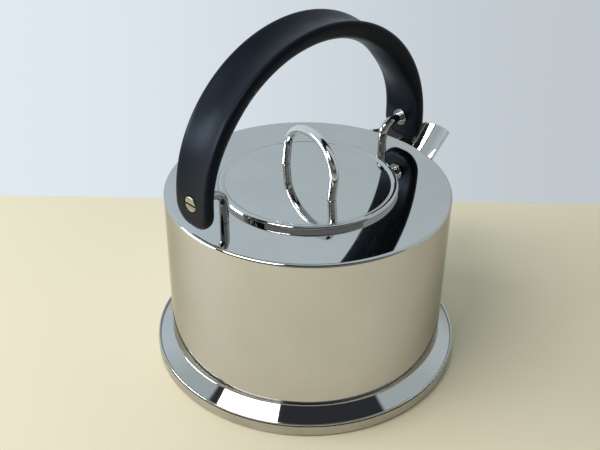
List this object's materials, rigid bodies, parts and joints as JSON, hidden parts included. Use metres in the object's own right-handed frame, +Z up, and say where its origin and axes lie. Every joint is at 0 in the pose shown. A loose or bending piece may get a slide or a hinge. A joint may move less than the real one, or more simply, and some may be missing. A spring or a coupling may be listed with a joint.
{
  "type": "stovetop whistling kettle",
  "caption": "Polished steel stovetop kettle: straight body on a flared foot, open beak spout level with the top with a flap whistle in it, lift-off lid with a rod knob, swinging black strap handle.",
  "frame": {"origin": "centre of the base where it stands on the hob", "axes": "+Z up, +X towards the spout, +Y to the left of the spout; the handle stands in the XZ plane"},
  "size_m": [0.1867, 0.165, 0.186],
  "materials": {
    "polished_steel": "mirror-polished stainless sheet",
    "satin_steel": "satin, turned in rings",
    "rod_steel": "bright drawn rod, polished",
    "screw_steel": "turned head, slightly warm",
    "spreader_aluminium": "raw disc, hidden",
    "black_plastic": "moulded, fine satin"
  },
  "bodies": {
    "kettle": {"base_cap": "satin_steel", "heat_spreader": "spreader_aluminium", "vessel_floor": "satin_steel", "body_shell": "polished_steel", "spout_beak": "polished_steel", "whistle_seat": "satin_steel", "whistle_pin": "rod_steel", "front_post": "rod_steel", "rear_post": "rod_steel", "front_post_washer": "satin_steel", "rear_post_washer": "satin_steel", "front_screw": "screw_steel", "rear_screw": "screw_steel"},
    "handle": {"handle_grip": "black_plastic", "front_bush": "rod_steel", "rear_bush": "rod_steel"},
    "lid": {"lid_plate": "polished_steel", "lid_ring": "satin_steel", "lid_knob": "rod_steel", "knob_washers": "satin_steel"},
    "whistle_flap": {"whistle_cup": "satin_steel", "whistle_plate": "satin_steel"}
  },
  "joints": [
    {"name": "handle_swing", "type": "hinge", "parent": "kettle", "child": "handle", "pos_m": [0, 0, 0.114], "axis": [1, 0, 0], "range_deg": [-90, 90]},
    {"name": "lid_lift", "type": "slide", "parent": "kettle", "child": "lid", "axis": [0, 0, 1], "range_m": [0, 0.04]},
    {"name": "whistle_swing", "type": "hinge", "parent": "kettle", "child": "whistle_flap", "pos_m": [0.07721, 0, 0.09201], "axis": [0, -1, 0], "range_deg": [0, 60]}
  ]
}
